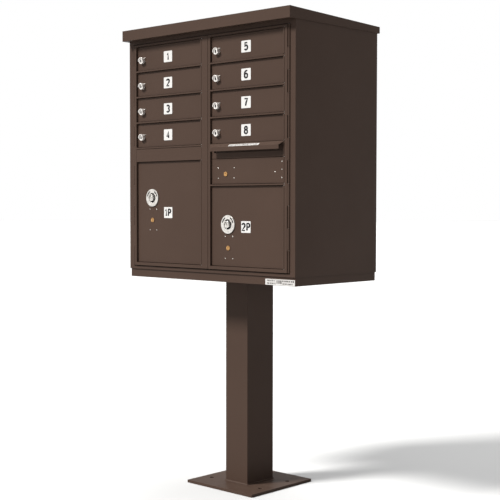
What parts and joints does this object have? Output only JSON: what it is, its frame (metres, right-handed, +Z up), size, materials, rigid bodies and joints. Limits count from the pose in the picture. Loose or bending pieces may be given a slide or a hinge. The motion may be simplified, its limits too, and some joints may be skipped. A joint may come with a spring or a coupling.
{
  "type": "cluster mailbox unit",
  "caption": "Pedestal-mounted cluster mailbox with hinged tenant and parcel doors, locks with turning cams, an outgoing mail slot and two swing-out carrier doors.",
  "frame": {"origin": "centre of the anchor bolt pattern, on the underside of the base plate (ground level)", "axes": "+Z up along the pedestal, +X to the right seen from the front, +Y from the doors to the back"},
  "size_m": [0.7804, 0.457, 1.5748],
  "materials": {
    "cabinet_coat": "fine-textured satin powder coat, dark bronze",
    "pedestal_coat": "satin powder coat, dark bronze",
    "zinc_steel": "zinc plated",
    "lock_metal": "nickel plated, worn satin",
    "lock_brass": "satin"
  },
  "bodies": {
    "cabinet": {"base_plate": "pedestal_coat", "pedestal_column": "pedestal_coat", "pedestal_top_plate": "pedestal_coat", "pedestal_mounting_bolts": "zinc_steel", "cabinet_side_left": "cabinet_coat", "cabinet_side_right": "cabinet_coat", "cabinet_back": "cabinet_coat", "cabinet_floor": "cabinet_coat", "cabinet_hood": "cabinet_coat", "front_frame": "cabinet_coat", "centre_partition": "cabinet_coat", "compartment_shelves": "cabinet_coat", "master_hinge_pins": "zinc_steel"},
    "left_master": {"left_master_door": "cabinet_coat", "left_filler_panel": "cabinet_coat", "left_door_hinge_rod": "zinc_steel"},
    "right_master": {"right_master_door": "cabinet_coat", "right_door_hinge_rod": "zinc_steel", "outgoing_mail_awning": "cabinet_coat", "outgoing_lock_panel": "cabinet_coat", "outgoing_arrow_case": "zinc_steel"},
    "left_latch": {"left_master_latch": "zinc_steel"},
    "tenant_door_1": {"tenant_door_1": "cabinet_coat", "tenant_lock_1": "lock_metal"},
    "tenant_plug_1": {"tenant_lock_plug_1": "lock_metal"},
    "tenant_door_2": {"tenant_door_2": "cabinet_coat", "tenant_lock_2": "lock_metal"},
    "tenant_plug_2": {"tenant_lock_plug_2": "lock_metal"},
    "tenant_door_3": {"tenant_door_3": "cabinet_coat", "tenant_lock_3": "lock_metal"},
    "tenant_plug_3": {"tenant_lock_plug_3": "lock_metal"},
    "tenant_door_4": {"tenant_door_4": "cabinet_coat", "tenant_lock_4": "lock_metal"},
    "tenant_plug_4": {"tenant_lock_plug_4": "lock_metal"},
    "tenant_door_5": {"tenant_door_5": "cabinet_coat", "tenant_lock_5": "lock_metal"},
    "tenant_plug_5": {"tenant_lock_plug_5": "lock_metal"},
    "tenant_door_6": {"tenant_door_6": "cabinet_coat", "tenant_lock_6": "lock_metal"},
    "tenant_plug_6": {"tenant_lock_plug_6": "lock_metal"},
    "tenant_door_7": {"tenant_door_7": "cabinet_coat", "tenant_lock_7": "lock_metal"},
    "tenant_plug_7": {"tenant_lock_plug_7": "lock_metal"},
    "tenant_door_8": {"tenant_door_8": "cabinet_coat", "tenant_lock_8": "lock_metal"},
    "tenant_plug_8": {"tenant_lock_plug_8": "lock_metal"},
    "parcel_door_1": {"parcel_door_1": "cabinet_coat", "parcel_lock_1": "lock_metal", "parcel_arrow_case_1": "zinc_steel"},
    "parcel_plug_1": {"parcel_lock_plug_1": "lock_metal"},
    "parcel_arrow_1": {"parcel_arrow_plug_1": "lock_brass"},
    "parcel_arrow_slide_1": {"parcel_arrow_bolt_1": "zinc_steel"},
    "parcel_door_2": {"parcel_door_2": "cabinet_coat", "parcel_lock_2": "lock_metal", "parcel_arrow_case_2": "zinc_steel"},
    "parcel_plug_2": {"parcel_lock_plug_2": "lock_metal"},
    "parcel_arrow_2": {"parcel_arrow_plug_2": "lock_brass"},
    "parcel_arrow_slide_2": {"parcel_arrow_bolt_2": "zinc_steel"},
    "outgoing_arrow": {"outgoing_arrow_plug": "lock_brass"},
    "outgoing_arrow_slide": {"outgoing_arrow_bolt": "zinc_steel"}
  },
  "joints": [
    {"name": "left_master_hinge", "type": "hinge", "parent": "cabinet", "child": "left_master", "pos_m": [-0.36225, -0.2088, 1.1], "axis": [0, 0, -1], "range_deg": [0, 110]},
    {"name": "right_master_hinge", "type": "hinge", "parent": "cabinet", "child": "right_master", "pos_m": [0.36225, -0.2088, 1.1], "axis": [0, 0, 1], "range_deg": [0, 110]},
    {"name": "left_latch_slide", "type": "slide", "parent": "left_master", "child": "left_latch", "axis": [0, 0, -1], "range_m": [0, 0.01]},
    {"name": "tenant_door_1_hinge", "type": "hinge", "parent": "left_master", "child": "tenant_door_1", "pos_m": [-0.0254, -0.2077, 1.475], "axis": [0, 0, 1], "range_deg": [0, 100]},
    {"name": "tenant_lock_1_turn", "type": "hinge", "parent": "tenant_door_1", "child": "tenant_plug_1", "pos_m": [-0.319, -0.2065, 1.4685], "axis": [0, -1, 0], "range_deg": [0, 90]},
    {"name": "tenant_door_2_hinge", "type": "hinge", "parent": "left_master", "child": "tenant_door_2", "pos_m": [-0.0254, -0.2077, 1.386], "axis": [0, 0, 1], "range_deg": [0, 100]},
    {"name": "tenant_lock_2_turn", "type": "hinge", "parent": "tenant_door_2", "child": "tenant_plug_2", "pos_m": [-0.319, -0.2065, 1.3795], "axis": [0, -1, 0], "range_deg": [0, 90]},
    {"name": "tenant_door_3_hinge", "type": "hinge", "parent": "left_master", "child": "tenant_door_3", "pos_m": [-0.0254, -0.2077, 1.297], "axis": [0, 0, 1], "range_deg": [0, 100]},
    {"name": "tenant_lock_3_turn", "type": "hinge", "parent": "tenant_door_3", "child": "tenant_plug_3", "pos_m": [-0.319, -0.2065, 1.2905], "axis": [0, -1, 0], "range_deg": [0, 90]},
    {"name": "tenant_door_4_hinge", "type": "hinge", "parent": "left_master", "child": "tenant_door_4", "pos_m": [-0.0254, -0.2077, 1.208], "axis": [0, 0, 1], "range_deg": [0, 100]},
    {"name": "tenant_lock_4_turn", "type": "hinge", "parent": "tenant_door_4", "child": "tenant_plug_4", "pos_m": [-0.319, -0.2065, 1.2015], "axis": [0, -1, 0], "range_deg": [0, 90]},
    {"name": "tenant_door_5_hinge", "type": "hinge", "parent": "right_master", "child": "tenant_door_5", "pos_m": [0.3416, -0.2077, 1.475], "axis": [0, 0, 1], "range_deg": [0, 100]},
    {"name": "tenant_lock_5_turn", "type": "hinge", "parent": "tenant_door_5", "child": "tenant_plug_5", "pos_m": [0.048, -0.2065, 1.4685], "axis": [0, -1, 0], "range_deg": [0, 90]},
    {"name": "tenant_door_6_hinge", "type": "hinge", "parent": "right_master", "child": "tenant_door_6", "pos_m": [0.3416, -0.2077, 1.386], "axis": [0, 0, 1], "range_deg": [0, 100]},
    {"name": "tenant_lock_6_turn", "type": "hinge", "parent": "tenant_door_6", "child": "tenant_plug_6", "pos_m": [0.048, -0.2065, 1.3795], "axis": [0, -1, 0], "range_deg": [0, 90]},
    {"name": "tenant_door_7_hinge", "type": "hinge", "parent": "right_master", "child": "tenant_door_7", "pos_m": [0.3416, -0.2077, 1.297], "axis": [0, 0, 1], "range_deg": [0, 100]},
    {"name": "tenant_lock_7_turn", "type": "hinge", "parent": "tenant_door_7", "child": "tenant_plug_7", "pos_m": [0.048, -0.2065, 1.2905], "axis": [0, -1, 0], "range_deg": [0, 90]},
    {"name": "tenant_door_8_hinge", "type": "hinge", "parent": "right_master", "child": "tenant_door_8", "pos_m": [0.3416, -0.2077, 1.208], "axis": [0, 0, 1], "range_deg": [0, 100]},
    {"name": "tenant_lock_8_turn", "type": "hinge", "parent": "tenant_door_8", "child": "tenant_plug_8", "pos_m": [0.048, -0.2065, 1.2015], "axis": [0, -1, 0], "range_deg": [0, 90]},
    {"name": "parcel_door_1_hinge", "type": "hinge", "parent": "left_master", "child": "parcel_door_1", "pos_m": [-0.0254, -0.2077, 0.9], "axis": [0, 0, 1], "range_deg": [0, 100]},
    {"name": "parcel_lock_1_turn", "type": "hinge", "parent": "parcel_door_1", "child": "parcel_plug_1", "pos_m": [-0.2695, -0.2065, 0.9902], "axis": [0, -1, 0], "range_deg": [0, 90]},
    {"name": "parcel_arrow_1_turn", "type": "hinge", "parent": "parcel_door_1", "child": "parcel_arrow_1", "pos_m": [-0.2695, -0.2065, 0.9128], "axis": [0, -1, 0], "range_deg": [0, 90]},
    {"name": "parcel_arrow_1_bolt", "type": "slide", "parent": "parcel_door_1", "child": "parcel_arrow_slide_1", "axis": [-1, 0, 0], "range_m": [0, 0.0105]},
    {"name": "parcel_door_2_hinge", "type": "hinge", "parent": "right_master", "child": "parcel_door_2", "pos_m": [0.3416, -0.2077, 0.9], "axis": [0, 0, 1], "range_deg": [0, 100]},
    {"name": "parcel_lock_2_turn", "type": "hinge", "parent": "parcel_door_2", "child": "parcel_plug_2", "pos_m": [0.0975, -0.2065, 0.9022], "axis": [0, -1, 0], "range_deg": [0, 90]},
    {"name": "parcel_arrow_2_turn", "type": "hinge", "parent": "parcel_door_2", "child": "parcel_arrow_2", "pos_m": [0.0975, -0.2065, 0.8248], "axis": [0, -1, 0], "range_deg": [0, 90]},
    {"name": "parcel_arrow_2_bolt", "type": "slide", "parent": "parcel_door_2", "child": "parcel_arrow_slide_2", "axis": [-1, 0, 0], "range_m": [0, 0.0105]},
    {"name": "outgoing_arrow_turn", "type": "hinge", "parent": "right_master", "child": "outgoing_arrow", "pos_m": [0.086, -0.2065, 1.0665], "axis": [0, -1, 0], "range_deg": [0, 90]},
    {"name": "outgoing_arrow_bolt", "type": "slide", "parent": "right_master", "child": "outgoing_arrow_slide", "axis": [-1, 0, 0], "range_m": [0, 0.0135]}
  ],
  "couplings": [
    {"joint": "parcel_arrow_1_bolt", "follows": "parcel_arrow_1_turn", "m_per_rad": 0.0063662},
    {"joint": "parcel_arrow_2_bolt", "follows": "parcel_arrow_2_turn", "m_per_rad": 0.0063662},
    {"joint": "outgoing_arrow_bolt", "follows": "outgoing_arrow_turn", "m_per_rad": 0.0082761}
  ]
}
